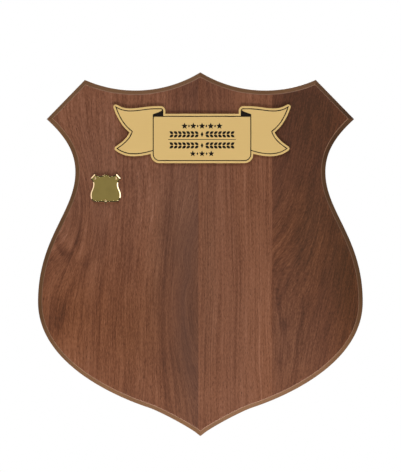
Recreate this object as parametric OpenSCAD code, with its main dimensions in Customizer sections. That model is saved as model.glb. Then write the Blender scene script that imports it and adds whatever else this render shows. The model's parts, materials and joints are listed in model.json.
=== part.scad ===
// Presentation plaque: a shield board veneered in walnut, with a scroll-shaped title
// plate, one small record shield, and hanging hardware on its back.
//
// The wall is the plane y = 0 and the face looks towards -Y. The origin lies on the wall,
// at the height where a wall hook carries the ring.

/* [Board] */
// Widest width of the shield
board_w = 300; // [240:10:400]
// Height of the shield from its bottom point to its top point
board_h = 336; // [270:6:450]
// Thickness of the board with its veneers
board_t = 18; // [12:0.5:25]
// Width and depth of the chamfer around the face
chamfer = 4.5; // [2:0.5:5]
// Thickness of the face and back veneers
veneer_t = 0.6; // [0.5:0.1:1]
// Where the left and centre veneer leaves meet, right of the middle
seam_left_x = -1.8; // [-30:0.1:20]
// Where the centre and right veneer leaves meet, right of the middle
seam_right_x = 66; // [40:1:90]

/* [Title plate] */
// Middle of the plate, right of the middle of the board
plate_x = 1.5; // [-5:0.1:5]
// How far the whole plate is let down, which moves it towards the bottom point
plate_drop = 0.6; // [0:0.1:5]
// Half width of the outlined panel
panel_half_w = 44.8; // [44.6:0.1:45]
// Height of the panel's bottom line above the shield's bottom point
panel_bottom = 254.7; // [252:0.1:257]
// Height of the panel's top line above the shield's bottom point
panel_top = 295.3; // [295:0.1:296]
// Gold border outside the lines
plate_rim = 2.3; // [1.5:0.1:3]
// Thickness of the plate
plate_t = 1; // [0.8:0.1:2]
// Width of the engraved lines
line_w = 0.9; // [0.5:0.1:1.2]
// Depth of the engraving
engraved = 0.3; // [0.2:0.05:0.4]
// Thickness of the double-sided tape under the plate
tape_t = 0.5; // [0.3:0.1:1]

/* [Record shield] */
// Middle of the record shield, right of the middle of the board
record_x = -87; // [-95:0.1:-60]
// Bottom point of the record shield above the board's bottom point
record_bottom = 214.9; // [205:0.1:220]
// Height of the pressed shell from the board to its flat face
record_h = 1.8; // [1.4:0.1:2.2]
// Width of its sloping edge
record_slope = 0.9; // [0.8:0.1:1.3]
// Thickness of its sheet metal
record_sheet = 0.4; // [0.3:0.05:0.5]

/* [Pins] */
// Radius of a pin's head
pin_head_r = 1.05; // [0.8:0.05:1.3]
// Radius of a pin's shank
pin_r = 0.5; // [0.4:0.05:0.6]
// Length of a pin under its head
pin_length = 9; // [6:0.5:12]

/* [Hanger] */
// Height of the hook's bearing point above the shield's bottom point
hook_height = 300; // [290:1:305]
// Clear width inside the ring
ring_inner_w = 18; // [17:0.5:20]
// Clear height inside the ring
ring_inner_h = 15; // [14:0.5:18]
// Radius of the ring's wire
wire_r = 1.25; // [1:0.05:1.3]
// Running clearance of the wire inside the strap's eye
eye_clearance = 0.1; // [0.05:0.05:0.15]
// Gap left between the ring's top and the back of the board
ring_gap = 0.3; // [0.2:0.05:0.5]
// Width of the strap
strap_w = 14; // [12:0.5:15]
// Thickness of one folded leaf of the strap
strap_sheet = 1; // [0.8:0.1:1]
// Distance of the upper screw below the ring's hinge
upper_screw_drop = 10; // [9:1:13]
// Distance of the lower screw below the ring's hinge
lower_screw_drop = 24; // [22:1:30]
// Radius of a screw's shank
screw_r = 1.75; // [1.5:0.05:2]
// Radius of a screw's pan head
screw_head_r = 3.5; // [3:0.1:4]
// Height of a screw's pan head
screw_head_h = 2.3; // [2:0.1:2.4]
// Length of a screw under its head
screw_length = 14; // [10:1:15]

/* [Bumpers] */
// Height of the bumpers, which is the gap between the board and the wall
bumper_h = 5; // [4.8:0.1:6]
// Radius of a bumper
bumper_r = 6.35; // [5:0.05:8]
// Distance of each bumper from the middle
bumper_x = 95; // [60:5:105]
// Height of the bumpers above the shield's bottom point
bumper_height = 75; // [70:5:130]

/* [Hidden] */
$fn = 48;

// Planes parallel to the wall, from the back to the front
back_y = -bumper_h;
core_back_y = back_y - veneer_t;
face_y = back_y - board_t;
core_front_y = face_y + veneer_t;
plate_back_y = face_y - tape_t;
plate_front_y = plate_back_y - plate_t;
record_front_y = face_y - record_h;

// The ring's hinge
eye_r = wire_r + eye_clearance + strap_sheet;
hinge_y = back_y + eye_r;
ring_half_w = ring_inner_w / 2 + wire_r;
ring_h = ring_inner_h + 2 * wire_r;
ring_lean = asin((hinge_y - (back_y + wire_r + ring_gap)) / ring_h);
hinge_z = -(ring_h - wire_r) * cos(ring_lean);
strap_front_y = back_y + 2 * strap_sheet;

// Pins of the record shield, from its bottom point
pin_places = [[-9.5, 23], [9.8, 22.9], [0, 2.3]];

// A point in the plane of the board from which all of its outline can be seen
board_hub = [0, board_h * 0.57];

// Where the ribbon's tails roll over behind the panel
tail_inner_x = 36;
// The enamel stops a little below the plate's face
enamel_t = engraved - 0.05;
// Half width of the rows of ornament
ornament_half_w = 31;

// How far a cut runs on past the surface that it opens
over = 1;

// ---- Curves, as lists of points ----

// Cubic curve from a to d with handles b and c, without its first point.
function curve(a, b, c, d, steps) = [
    for (i = [1 : steps])
        let (t = i / steps, u = 1 - t)
        u * u * u * a + 3 * u * u * t * b + 3 * u * t * t * c + t * t * t * d
];

// Circular arc about a centre, both ends included.
function arc(centre, r, from, to, steps) = [
    for (i = [0 : steps])
        let (a = from + (to - from) * i / steps)
        centre + r * [cos(a), sin(a)]
];

// A whole outline from its right half, which runs from the top point to the bottom point.
function both_halves(half) = concat(
    half,
    [for (i = [len(half) - 2 : -1 : 1]) [-half[i].x, half[i].y]]
);

function unit(v) = v / norm(v);

// A clockwise outline moved inwards by d, with mitred corners, point for point.
function inset(points, d) =
    let (n = len(points))
    [
        for (i = [0 : n - 1])
            let (
                before = unit(points[i] - points[(i + n - 1) % n]),
                after = unit(points[(i + 1) % n] - points[i]),
                normal_a = [before.y, -before.x],
                normal_b = [after.y, -after.x]
            )
            points[i] + d * (normal_a + normal_b) / (1 + normal_a * normal_b)
    ];

function moved(points, by) = [for (p = points) p + by];

// ---- Outlines, drawn in the plane of the board with the shield's bottom point at 0 ----

// The big shield: two scallops that meet in a point at the top, clipped ears, a narrow
// waist, full flanks and an ogee bottom. It is drawn for a shield of 300 by 336.
function board_outline() =
    let (
        peak = [0, 336],
        scallop_r = 115.5,
        scallop_x = 60,
        rise = acos(scallop_x / scallop_r),
        centre = [scallop_x, peak.y + scallop_r * sin(rise)],
        ear_angle = -66.2,
        shoulder = [142, 292.7],
        waist = [115.5, 244],
        belly = [150, 124],
        toe = [47, 26],
        tip = [0, 0],
        half = concat(
            arc(centre, scallop_r, rise - 180, ear_angle, 18),
            [shoulder],
            curve(shoulder, [126.5, 278.5], [115.5, 264], waist, 8),
            curve(waist, [115.5, 207], [150, 183.5], belly, 20),
            curve(belly, [150, 70.5], [87, 39.2], toe, 26),
            curve(toe, [37.6, 22.8], [7.4, 7], tip, 5)
        )
    )
    [for (p = both_halves(half)) [p.x * board_w / (2 * belly.x), p.y * board_h / peak.y]];

// The small shield: a low bump between two scallops, pointed shoulders, a waist and a
// straight bottom edge with a small point.
function record_outline() =
    let (
        bump = [0, 26.5],
        dip = [4.6, 25],
        ear = [10, 26.9],
        shoulder = [13.8, 22.8],
        waist = [11.3, 17.3],
        flank = [13.8, 7.4],
        corner = [9, 1.2],
        half = concat(
            [bump],
            curve(bump, [2.2, 26.5], [2.4, 25], dip, 6),
            curve(dip, [6.8, 25], [8.7, 25.5], ear, 3),
            [shoulder],
            curve(shoulder, [12.4, 21], [11.3, 19.4], waist, 3),
            curve(waist, [11.3, 13.2], [13.8, 11.4], flank, 10),
            curve(flank, [13.8, 3.6], [12.1, 1.2], corner, 8),
            [[2.2, 1.2], [0, 0]]
        )
    )
    moved(both_halves(half), [record_x, record_bottom]);

// ---- Solids made from outlines ----

// Stands a flat shape up, from back to front. The shape's own y is height above the
// shield's bottom point.
module standing(from_y, thickness) {
    translate([0, from_y, -hook_height])
        rotate([90, 0, 0])
            linear_extrude(thickness)
                children();
}

// Loft through rings of matching points, each [outline, distance in front of from_y].
// Both ends are closed by a fan about the hub, which sees every point of them.
module standing_loft(from_y, rings, hub) {
    n = len(rings[0][0]);
    last = len(rings) - 1;
    points = concat(
        [for (ring = rings, p = ring[0]) [p.x, p.y, ring[1]]],
        [[hub.x, hub.y, rings[0][1]], [hub.x, hub.y, rings[last][1]]]
    );
    back_hub = n * (last + 1);
    front_hub = back_hub + 1;
    sides = [
        for (k = [0 : last - 1], i = [0 : n - 1])
            let (
                j = (i + 1) % n,
                a = k * n + i,
                b = k * n + j,
                c = (k + 1) * n + j,
                d = (k + 1) * n + i
            )
            each [[a, b, c], [a, c, d]]
    ];
    back_cap = [for (i = [0 : n - 1]) [back_hub, (i + 1) % n, i]];
    front_cap = [for (i = [0 : n - 1]) [front_hub, last * n + i, last * n + (i + 1) % n]];
    translate([0, from_y, -hook_height])
        rotate([90, 0, 0])
            polyhedron(points, concat(sides, back_cap, front_cap), convexity = 6);
}

// Cylinder pointing from the wall side into the board, from the plane from_y.
module bore(x, z, from_y, length, r) {
    translate([x, from_y, z])
        rotate([90, 0, 0])
            cylinder(h = length, r = r);
}

module pin_bores(from_y, length, r) {
    for (place = pin_places)
        bore(record_x + place.x, record_bottom + place.y - hook_height, from_y, length, r);
}

module screw_bores(from_y, length) {
    for (drop = [upper_screw_drop, lower_screw_drop])
        bore(0, hinge_z - drop, from_y, length, screw_r);
}

// ---- Board ----

module core_board() {
    outline = board_outline();
    color("saddlebrown")
        difference() {
            standing_loft(
                core_back_y,
                [
                    [outline, 0],
                    [outline, board_t - veneer_t - chamfer],
                    [inset(outline, chamfer - veneer_t), board_t - 2 * veneer_t]
                ],
                board_hub
            );
            pin_bores(record_front_y + pin_length, pin_length, pin_r);
            screw_bores(back_y, screw_length);
        }
}

// One leaf of the face veneer, between two upright seams.
module face_leaf(from_x, to_x) {
    outline = board_outline();
    intersection() {
        standing_loft(
            core_front_y,
            [[inset(outline, chamfer - veneer_t), 0], [inset(outline, chamfer), veneer_t]],
            board_hub
        );
        translate([from_x, face_y - over, -hook_height])
            cube([to_x - from_x, veneer_t + 2 * over, board_h]);
    }
}

module face_leaf_left() {
    color("sienna")
        difference() {
            face_leaf(-board_w / 2, seam_left_x);
            pin_bores(record_front_y + pin_length, pin_length, pin_r);
        }
}

module face_leaf_centre() {
    color("peru")
        face_leaf(seam_left_x, seam_right_x);
}

module face_leaf_right() {
    color("saddlebrown")
        face_leaf(seam_right_x, board_w / 2);
}

module back_veneer() {
    color("burlywood")
        difference() {
            standing(back_y, veneer_t)
                polygon(board_outline());
            screw_bores(back_y + over, screw_length);
        }
}

// ---- Title plate ----

module left_and_right() {
    children();
    mirror([1, 0])
        children();
}

// The panel in the middle, with its two bottom corners rounded.
module panel_shape() {
    corner_r = 5.8;
    x = panel_half_w - corner_r;
    y = panel_bottom + corner_r;
    polygon(concat(
        [[panel_half_w, panel_top]],
        arc([x, y], corner_r, 0, -90, 8),
        arc([-x, y], corner_r, -90, -180, 8),
        [[-panel_half_w, panel_top]]
    ));
}

// The ribbon's tail on the right: a wavy top edge, a swallow-tail notch and a sagging
// bottom edge. Its inner end rolls over behind the panel.
module tail_shape() {
    roll = [37.9, 300.4];
    roll_r = roll.x - tail_inner_x;
    roll_top = [roll.x + 4, roll.y + roll_r];
    upper_point = [79.1, 303.9];
    notch = [64, 281.4];
    lower_point = [78, 265.8];
    meets_panel = [panel_half_w, 264.1];
    behind = [over, 0];
    polygon(concat(
        [[tail_inner_x, panel_top - over], [tail_inner_x, roll.y]],
        arc(roll, roll_r, 180, 90, 6),
        curve(roll_top, [56, 302.4], [68, 296.6], upper_point, 12),
        curve(upper_point, [75.8, 295], [72.6, 288.2], notch, 10),
        curve(notch, [65.8, 275.5], [70.4, 270.6], lower_point, 8),
        curve(lower_point, [70.5, 260], [60, 259.4], meets_panel, 12),
        [meets_panel - behind, [meets_panel.x - over, panel_top - over]]
    ));
}

// The dark inside of the roll, seen above the panel's upper corner.
module fold_shape() {
    inner = [tail_inner_x, 301.6];
    outer = [panel_half_w + line_w / 2, 297.2];
    polygon(concat(
        [[inner.x, panel_top], inner],
        curve(inner, [37.6, 299.4], [41.6, 298.8], outer, 6),
        [[outer.x, panel_top]]
    ));
}

module plate_shape() {
    offset(r = plate_rim, $fn = 32)
        union() {
            panel_shape();
            left_and_right()
                tail_shape();
        }
}

module outline_of() {
    difference() {
        offset(delta = line_w / 2)
            children();
        offset(delta = -line_w / 2)
            children();
    }
}

// All the engraved lines of the plate: the panel, the two tails and the two folds.
module engraved_lines() {
    outline_of()
        panel_shape();
    difference() {
        left_and_right() {
            outline_of()
                tail_shape();
            fold_shape();
        }
        panel_shape();
    }
}

module star(r) {
    points = 5;
    inner_r = r * 0.46;
    polygon([
        for (i = [0 : 2 * points - 1])
            let (reach = i % 2 == 0 ? r : inner_r)
            reach * [sin(i * 180 / points), cos(i * 180 / points)]
    ]);
}

module lozenge(half_w, half_h) {
    polygon([[half_w, 0], [0, half_h], [-half_w, 0], [0, -half_h]]);
}

// A leaf that starts at the origin and points along +X.
module leaf(length, half_w) {
    start = [0, 0];
    tip = [length, 0];
    handle = length * 0.35;
    polygon(concat(
        curve(start, [handle, half_w * 1.5], [length - handle, half_w * 1.1], tip, 5),
        curve(tip, [length - handle, -half_w * 1.1], [handle, -half_w * 1.5], start, 5)
    ));
}

// A row of stars with lozenges between them.
module star_row(count, pitch, star_r) {
    for (i = [0 : count - 1])
        translate([(i - (count - 1) / 2) * pitch, 0])
            star(star_r);
    for (i = [0 : count - 2])
        translate([(i - (count - 2) / 2) * pitch, 0])
            lozenge(0.9, 1.4);
}

// Two laurel branches that grow outwards from a lozenge, their leaves in pairs.
module garland(half_w) {
    first_x = 3.2;
    pitch = 3.85;
    stem_half_w = 0.35;
    spread = 34;
    pairs = floor((half_w - first_x) / pitch);
    lozenge(1.3, 2.5);
    left_and_right()
        for (i = [0 : pairs - 1], side = [-1, 1])
            translate([first_x + i * pitch, side * stem_half_w])
                rotate(side * spread)
                    leaf(4.3, 1.3);
}

// Rows of ornament in the panel, with a thin rule between the second and the third.
module ornament() {
    translate([0, 286.4])
        star_row(5, 8, 3.1);
    translate([0, 278.8])
        garland(ornament_half_w);
    translate([-ornament_half_w, 273.7])
        square([2 * ornament_half_w, 0.6]);
    translate([0, 268.6])
        garland(ornament_half_w);
    translate([0, 261])
        star_row(3, 8.5, 2.9);
}

// Stands a shape up like the rest of the board, but in the plate's own place.
module standing_plate(from_y, thickness) {
    translate([plate_x, 0, -plate_drop])
        standing(from_y, thickness)
            children();
}

module header_plate() {
    color("gold")
        difference() {
            standing_plate(plate_back_y, plate_t)
                plate_shape();
            standing_plate(plate_front_y + engraved, engraved + over) {
                engraved_lines();
                ornament();
            }
        }
}

module header_line_enamel() {
    color("black")
        standing_plate(plate_front_y + engraved, enamel_t)
            engraved_lines();
}

module header_ornament_enamel() {
    color("black")
        standing_plate(plate_front_y + engraved, enamel_t)
            ornament();
}

module header_tape(centre, width, height) {
    color("white")
        standing_plate(face_y, tape_t)
            translate(centre - [width, height] / 2)
                square([width, height]);
}

module header_tape_left() {
    header_tape([-56, 281], 12, 25);
}

module header_tape_centre() {
    header_tape([0, 275], 80, 25);
}

module header_tape_right() {
    header_tape([56, 281], 12, 25);
}

// ---- Record shield ----

// Pressed from sheet: a flat face with sloping edges, hollow behind.
module record_shield() {
    outline = record_outline();
    hub = [record_x, record_bottom + 13];
    edge_h = 0.9;
    color("goldenrod")
        difference() {
            standing_loft(
                face_y,
                [[outline, 0], [outline, edge_h], [inset(outline, record_slope), record_h]],
                hub
            );
            standing_loft(
                face_y + over,
                [
                    [inset(outline, record_sheet), 0],
                    [inset(outline, record_sheet), over + edge_h - record_sheet / 2],
                    [inset(outline, record_slope + record_sheet / 2), over + record_h - record_sheet]
                ],
                hub
            );
            pin_bores(face_y + over, record_h + 2 * over, pin_r + 0.1);
        }
}

// Round-headed brass pin, driven through the record shield into the board.
module record_pin(place) {
    head_h = 0.8;
    cap_r = (head_h * head_h + pin_head_r * pin_head_r) / (2 * head_h);
    color("gold")
        translate([
            record_x + place.x,
            record_front_y,
            record_bottom + place.y - hook_height
        ])
            rotate([90, 0, 0])
                rotate_extrude($fn = 32) {
                    translate([0, -pin_length])
                        square([pin_r, pin_length]);
                    intersection() {
                        translate([0, head_h - cap_r])
                            circle(cap_r, $fn = 48);
                        square([pin_head_r, head_h]);
                    }
                }
}

module record_pin_left() {
    record_pin(pin_places[0]);
}

module record_pin_right() {
    record_pin(pin_places[1]);
}

module record_pin_bottom() {
    record_pin(pin_places[2]);
}

// ---- Hanger ----

// A strip folded around the ring's bar, its two leaves screwed flat to the board.
module hanger_strap() {
    end_z = hinge_z - lower_screw_drop;
    color("silver")
        difference() {
            union() {
                translate([-strap_w / 2, back_y, end_z])
                    cube([strap_w, strap_front_y - back_y, hinge_z - end_z]);
                bore(0, end_z, strap_front_y, strap_front_y - back_y, strap_w / 2);
                translate([-strap_w / 2, hinge_y, hinge_z])
                    rotate([0, 90, 0])
                        cylinder(h = strap_w, r = eye_r);
            }
            translate([-strap_w / 2 - over, hinge_y, hinge_z])
                rotate([0, 90, 0])
                    cylinder(h = strap_w + 2 * over, r = wire_r + eye_clearance);
            screw_bores(strap_front_y + over, screw_length);
        }
}

// The ring is a bar, two short legs and a half round top, bent from one wire.
module hanger_ring() {
    bend_r = 2.5;
    leg_top = ring_h - ring_half_w;
    color("gainsboro")
        translate([0, hinge_y, hinge_z])
            rotate([ring_lean, 0, 0]) {
                translate([-(ring_half_w - bend_r), 0, 0])
                    rotate([0, 90, 0])
                        cylinder(h = 2 * (ring_half_w - bend_r), r = wire_r);
                for (side = [0, 1])
                    mirror([side, 0, 0]) {
                        translate([ring_half_w - bend_r, 0, bend_r])
                            rotate([90, 0, 0])
                                rotate_extrude(angle = -90)
                                    translate([bend_r, 0])
                                        circle(wire_r, $fn = 32);
                        translate([ring_half_w, 0, bend_r])
                            cylinder(h = leg_top - bend_r, r = wire_r);
                    }
                translate([0, 0, leg_top])
                    rotate([90, 0, 0])
                        rotate_extrude(angle = 180)
                            translate([ring_half_w, 0])
                                circle(wire_r, $fn = 32);
            }
}

// Pan-head wood screw with a cross recess, its head on the strap.
module hanger_screw(drop) {
    edge_h = screw_head_h - 1;
    crown_r = screw_head_r - 1;
    point_h = 3;
    recess = [3.6, 0.9, 1.2];
    color("lightsteelblue")
        translate([0, strap_front_y, hinge_z - drop])
            rotate([-90, 0, 0])
                difference() {
                    rotate_extrude()
                        polygon(concat(
                            [[0, -screw_length], [screw_r, point_h - screw_length]],
                            [[screw_r, 0], [screw_head_r, 0], [screw_head_r, edge_h]],
                            arc([crown_r, edge_h], 1, 15, 90, 5),
                            [[0, screw_head_h]]
                        ));
                    for (turn = [45, 135])
                        rotate(turn)
                            translate([0, 0, screw_head_h - recess.z / 2 + over / 2])
                                cube([recess.x, recess.y, recess.z + over], center = true);
                }
}

module hanger_screw_upper() {
    hanger_screw(upper_screw_drop);
}

module hanger_screw_lower() {
    hanger_screw(lower_screw_drop);
}

// ---- Bumpers ----

// Self-adhesive rubber foot with a rounded rim and a flat end on the wall.
module bumper(x) {
    rim_r = 1.6;
    color("dimgray")
        translate([x, back_y, bumper_height - hook_height])
            rotate([-90, 0, 0])
                rotate_extrude()
                    polygon(concat(
                        [[0, 0], [bumper_r, 0]],
                        arc([bumper_r - rim_r, bumper_h - rim_r], rim_r, 0, 90, 6),
                        [[0, bumper_h]]
                    ));
}

module bumper_left() {
    bumper(-bumper_x);
}

module bumper_right() {
    bumper(bumper_x);
}

core_board();
face_leaf_left();
face_leaf_centre();
face_leaf_right();
back_veneer();
header_plate();
header_line_enamel();
header_ornament_enamel();
header_tape_left();
header_tape_centre();
header_tape_right();
record_shield();
record_pin_left();
record_pin_right();
record_pin_bottom();
hanger_strap();
hanger_ring();
hanger_screw_upper();
hanger_screw_lower();
bumper_left();
bumper_right();
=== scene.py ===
"""Wooden presentation plaque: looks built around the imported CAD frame.

Lengths are in millimetres until a mesh is finished, which scales it to metres. Outlines are
drawn in the plane of the board as (x, z) in the row frame, and depth is y: the wall is y = 0
and the face looks towards -y.
"""
import json
import math

import bmesh
import bpy
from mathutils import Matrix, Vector
from mathutils.geometry import tessellate_polygon


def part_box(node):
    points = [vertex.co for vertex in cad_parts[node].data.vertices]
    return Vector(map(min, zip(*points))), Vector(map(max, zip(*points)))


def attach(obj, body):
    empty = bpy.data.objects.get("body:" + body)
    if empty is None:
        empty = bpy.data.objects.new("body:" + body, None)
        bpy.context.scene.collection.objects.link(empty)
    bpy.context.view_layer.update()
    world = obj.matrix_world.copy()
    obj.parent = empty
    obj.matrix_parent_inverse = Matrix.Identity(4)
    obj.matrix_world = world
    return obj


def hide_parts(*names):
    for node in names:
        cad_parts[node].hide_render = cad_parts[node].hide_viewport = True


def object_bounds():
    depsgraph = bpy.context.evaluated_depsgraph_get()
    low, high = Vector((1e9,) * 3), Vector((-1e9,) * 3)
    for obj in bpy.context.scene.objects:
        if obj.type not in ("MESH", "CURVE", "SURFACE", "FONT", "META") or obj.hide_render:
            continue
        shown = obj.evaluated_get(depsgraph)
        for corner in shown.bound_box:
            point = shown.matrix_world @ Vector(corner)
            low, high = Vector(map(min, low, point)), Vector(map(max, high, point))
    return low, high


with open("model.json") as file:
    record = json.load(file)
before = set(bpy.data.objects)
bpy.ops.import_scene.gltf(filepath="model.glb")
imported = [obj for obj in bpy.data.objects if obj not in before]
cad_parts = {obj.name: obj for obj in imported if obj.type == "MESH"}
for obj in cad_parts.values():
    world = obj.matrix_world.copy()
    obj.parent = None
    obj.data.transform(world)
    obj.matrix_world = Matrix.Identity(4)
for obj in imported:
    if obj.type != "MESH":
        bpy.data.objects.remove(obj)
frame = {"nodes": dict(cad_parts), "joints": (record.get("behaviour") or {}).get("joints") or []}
CAD_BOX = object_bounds()

MM = 0.001
BOARD = "plaque"
RING = "ring"

# How far the points of an outline stay from its corners, so that the corners can be mitred.
BOARD_CORNER_ROOM = 6.5
RECORD_CORNER_ROOM = 1.9


def box_mm(node):
    """Lowest and highest corner of a CAD node, in millimetres."""
    low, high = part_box(node)
    return low / MM, high / MM


CORE_LOW, CORE_HIGH = box_mm("core_board")
LEAF_LOW, LEAF_HIGH = box_mm("face_leaf_centre")
BACK_LOW, BACK_HIGH = box_mm("back_veneer")
PLATE_LOW, PLATE_HIGH = box_mm("header_plate")
RECORD_LOW, RECORD_HIGH = box_mm("record_shield")

FACE_Y = LEAF_LOW.y
BACK_Y = BACK_HIGH.y
TIP_Z = CORE_LOW.z
SEAM_LEFT = LEAF_LOW.x
SEAM_RIGHT = LEAF_HIGH.x


# ---- outlines


def curve(a, b, c, d, steps):
    """Cubic curve from a to d with handles b and c, without its first point."""
    points = []
    for i in range(1, steps + 1):
        t = i / steps
        u = 1 - t
        weights = (u**3, 3 * u * u * t, 3 * u * t * t, t**3)
        points.append(sum((w * p for w, p in zip(weights, (a, b, c, d))), Vector((0, 0))))
    return points


def arc(centre, radius, start, end, steps):
    """Circular arc from one angle in degrees to another, both ends included."""
    points = []
    for i in range(steps + 1):
        angle = math.radians(start + (end - start) * i / steps)
        points.append(centre + radius * Vector((math.cos(angle), math.sin(angle))))
    return points


def keep_clear(points, corners, distance):
    """Drops points that lie near a corner, so that the corner can be mitred."""
    return [p for p in points if all(p == c or (p - c).length > distance for c in corners)]


def both_halves(half):
    """A whole outline, clockwise, from its right half, which runs from the top to the bottom."""
    return half + [Vector((-p.x, p.y)) for p in half[-2:0:-1]]


def board_outline():
    """The shield, scaled to the CAD board: scallops, clipped ears, waist, belly and ogee."""
    peak = Vector((0, 336))
    shoulder = Vector((142, 292.7))
    waist = Vector((115.5, 244))
    belly = Vector((150, 124))
    toe = Vector((47, 26))
    tip = Vector((0, 0))
    scallop_r = 115.5
    scallop_x = 60
    scallop_end = -66.2
    rise = math.degrees(math.acos(scallop_x / scallop_r))
    centre = Vector((scallop_x, peak.y + scallop_r * math.sin(math.radians(rise))))
    top = arc(centre, scallop_r, rise - 180, scallop_end, 50)
    half = (
        top
        + [shoulder]
        + curve(shoulder, Vector((126.5, 278.5)), Vector((115.5, 264)), waist, 28)
        + curve(waist, Vector((115.5, 207)), Vector((150, 183.5)), belly, 54)
        + curve(belly, Vector((150, 70.5)), Vector((87, 39.2)), toe, 70)
        + curve(toe, Vector((37.6, 22.8)), Vector((7.4, 7)), tip, 24)
    )
    half = keep_clear(half, [top[0], top[-1], shoulder, tip], BOARD_CORNER_ROOM)
    across = (CORE_HIGH.x - CORE_LOW.x) / (2 * belly.x)
    upright = (CORE_HIGH.z - CORE_LOW.z) / peak.y
    return [Vector((p.x * across, p.y * upright + TIP_Z)) for p in both_halves(half)]


def record_outline():
    """The small shield, placed where its CAD node is."""
    bump = Vector((0, 26.5))
    dip = Vector((4.6, 25))
    ear = Vector((10, 26.9))
    shoulder = Vector((13.8, 22.8))
    waist = Vector((11.3, 17.3))
    flank = Vector((13.8, 7.4))
    corner = Vector((9, 1.2))
    point_start = Vector((2.2, 1.2))
    tip = Vector((0, 0))
    half = (
        [bump]
        + curve(bump, Vector((2.2, 26.5)), Vector((2.4, 25)), dip, 12)
        + curve(dip, Vector((6.8, 25)), Vector((8.7, 25.5)), ear, 12)
        + [shoulder]
        + curve(shoulder, Vector((12.4, 21)), Vector((11.3, 19.4)), waist, 12)
        + curve(waist, Vector((11.3, 13.2)), Vector((13.8, 11.4)), flank, 20)
        + curve(flank, Vector((13.8, 3.6)), Vector((12.1, 1.2)), corner, 16)
        + [point_start, tip]
    )
    half = keep_clear(half, [ear, shoulder], RECORD_CORNER_ROOM)
    middle = (RECORD_LOW.x + RECORD_HIGH.x) / 2
    return [Vector((p.x + middle, p.y + RECORD_LOW.z)) for p in both_halves(half)]


def inset(points, distance):
    """A clockwise outline moved inwards, with mitred corners, point for point."""
    moved = []
    for i, point in enumerate(points):
        before = (point - points[i - 1]).normalized()
        after = (points[(i + 1) % len(points)] - point).normalized()
        normal_a = Vector((before.y, -before.x))
        normal_b = Vector((after.y, -after.x))
        moved.append(point + distance * (normal_a + normal_b) / (1 + normal_a.dot(normal_b)))
    return moved


def softened(profile, radius, steps=3):
    """Rounds the inner corners of a profile of (inset, y) points."""
    points = [Vector(p) for p in profile]
    result = [points[0]]
    for before, corner, after in zip(points, points[1:], points[2:]):
        start = corner + (before - corner).normalized() * radius
        end = corner + (after - corner).normalized() * radius
        for i in range(steps + 1):
            t = i / steps
            result.append((1 - t) ** 2 * start + 2 * t * (1 - t) * corner + t * t * end)
    result.append(points[-1])
    return result


# ---- meshes


def ring_at(bm, points, y):
    """Vertices at depth y, one for each point of an outline."""
    return [bm.verts.new((p.x, y, p.y)) for p in points]


def bridge(bm, a, b):
    """Faces between two closed rings with the same number of vertices."""
    for i in range(len(a)):
        j = (i + 1) % len(a)
        bm.faces.new((a[i], b[i], b[j], a[j]))


def loft(bm, outline, profile):
    """Closed solid through the outline's rings; profile is (inset, y), from back to front."""
    rings = []
    for distance, y in profile:
        rings.append(ring_at(bm, inset(outline, distance) if distance else outline, y))
    for lower, upper in zip(rings, rings[1:]):
        bridge(bm, lower, upper)
    bm.faces.new(rings[0])
    bm.faces.new(reversed(rings[-1]))


def lathe(bm, profile, segments=64):
    """Closed solid turned from (radius, height) points about the +z axis."""
    rings = []
    for radius, height in profile:
        if radius < 1e-6:
            rings.append([bm.verts.new((0, 0, height))])
            continue
        rings.append([
            bm.verts.new((
                radius * math.cos(2 * math.pi * i / segments),
                radius * math.sin(2 * math.pi * i / segments),
                height,
            ))
            for i in range(segments)
        ])
    for lower, upper in zip(rings, rings[1:]):
        for i in range(segments):
            j = (i + 1) % segments
            corners = [lower[i % len(lower)], lower[j % len(lower)]]
            corners += [upper[j % len(upper)], upper[i % len(upper)]]
            face = []
            for corner in corners:
                if corner not in face:
                    face.append(corner)
            bm.faces.new(face)


def move(bm, matrix_columns, origin):
    """Turns the mesh so that its x, y and z axes become the given columns, then moves it."""
    x_axis, y_axis, z_axis = (Vector(c) for c in matrix_columns)
    for v in bm.verts:
        v.co = Vector(origin) + v.co.x * x_axis + v.co.y * y_axis + v.co.z * z_axis


TOWARDS_WALL = ((1, 0, 0), (0, 0, -1), (0, 1, 0))
TOWARDS_VIEWER = ((1, 0, 0), (0, 0, 1), (0, -1, 0))


def make_piece(name, bm, materials, body, nodes, sharp=40):
    """Turns a bmesh in millimetres into a shown piece that rides on a body."""
    bmesh.ops.remove_doubles(bm, verts=bm.verts, dist=1e-5)
    bmesh.ops.recalc_face_normals(bm, faces=bm.faces)
    bmesh.ops.scale(bm, vec=(MM, MM, MM), verts=bm.verts)
    for face in bm.faces:
        face.smooth = True
    for edge in bm.edges:
        if len(edge.link_faces) == 2 and edge.calc_face_angle() > math.radians(sharp):
            edge.smooth = False
    mesh = bpy.data.meshes.new(name)
    bm.to_mesh(mesh)
    bm.free()
    for material in materials:
        mesh.materials.append(material)
    piece = bpy.data.objects.new(name, mesh)
    bpy.context.scene.collection.objects.link(piece)
    weighted = piece.modifiers.new("flat faces stay flat", "WEIGHTED_NORMAL")
    weighted.keep_sharp = True
    weighted.weight = 100
    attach(piece, body)
    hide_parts(*nodes)


# ---- materials


class Value:
    """A socket of a node tree that can be used in a formula."""

    def __init__(self, shader, socket):
        self.shader = shader
        self.socket = socket

    def math(self, operation, *others):
        return self.shader.math(operation, self, *others)

    def __add__(self, other):
        return self.math("ADD", other)

    def __sub__(self, other):
        return self.math("SUBTRACT", other)

    def __mul__(self, other):
        return self.math("MULTIPLY", other)

    def __truediv__(self, other):
        return self.math("DIVIDE", other)

    def between(self, low, high):
        """0 below low, 1 above high and smooth between them."""
        node = self.shader.node("ShaderNodeMapRange")
        node.interpolation_type = "SMOOTHSTEP"
        self.shader.feed(node.inputs["Value"], self)
        node.inputs["From Min"].default_value = low
        node.inputs["From Max"].default_value = high
        return Value(self.shader, node.outputs["Result"])


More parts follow.
